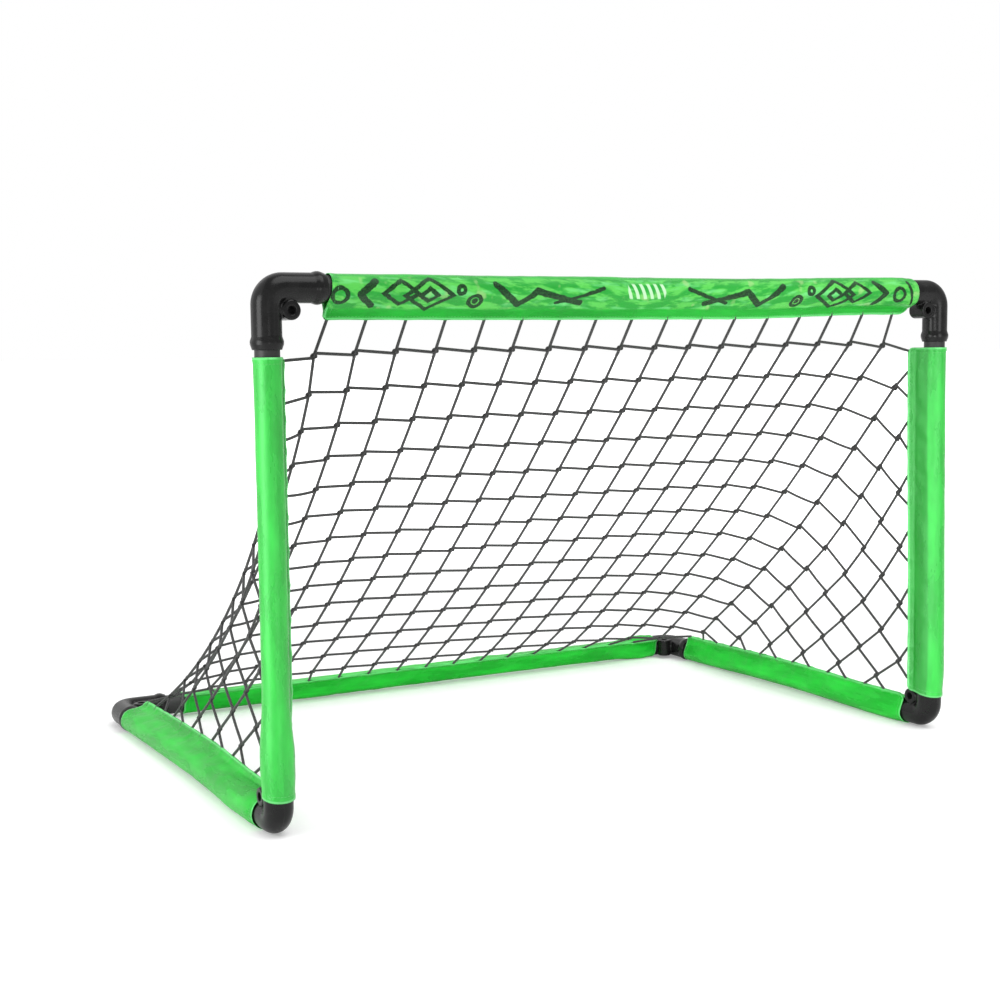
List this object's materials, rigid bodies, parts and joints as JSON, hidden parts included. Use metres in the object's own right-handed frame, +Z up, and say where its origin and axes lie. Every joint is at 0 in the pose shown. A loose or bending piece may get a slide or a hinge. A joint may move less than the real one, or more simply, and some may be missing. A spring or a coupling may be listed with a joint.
{
  "type": "floorball goal",
  "caption": "Small push-fit floorball goal: tube frame with moulded corner elbows, green fabric sleeves with hems, and a sloping knotted net.",
  "frame": {"origin": "on the ground under the middle of the goal", "axes": "+X along the crossbar, from the left post to the right post; -Y out of the mouth, towards the pitch; +Z up"},
  "size_m": [0.9056, 0.6056, 0.5627],
  "materials": {
    "elbow_plastic": "smooth moulded, semi-gloss",
    "tube_plastic": "extruded, satin",
    "sleeve_fabric": "woven nylon with a sheen",
    "net_cord": "knotted twine"
  },
  "bodies": {
    "root": {"crossbar_tube": "tube_plastic", "left_post_tube": "tube_plastic", "right_post_tube": "tube_plastic", "left_side_tube": "tube_plastic", "right_side_tube": "tube_plastic", "back_tube": "tube_plastic", "top_left_elbow": "elbow_plastic", "top_right_elbow": "elbow_plastic", "front_left_elbow": "elbow_plastic", "front_right_elbow": "elbow_plastic", "rear_left_elbow": "elbow_plastic", "rear_right_elbow": "elbow_plastic", "banner_sleeve": "sleeve_fabric", "left_post_sleeve": "sleeve_fabric", "right_post_sleeve": "sleeve_fabric", "left_side_sleeve": "sleeve_fabric", "right_side_sleeve": "sleeve_fabric", "back_sleeve": "sleeve_fabric", "net": "net_cord"}
  },
  "joints": []
}
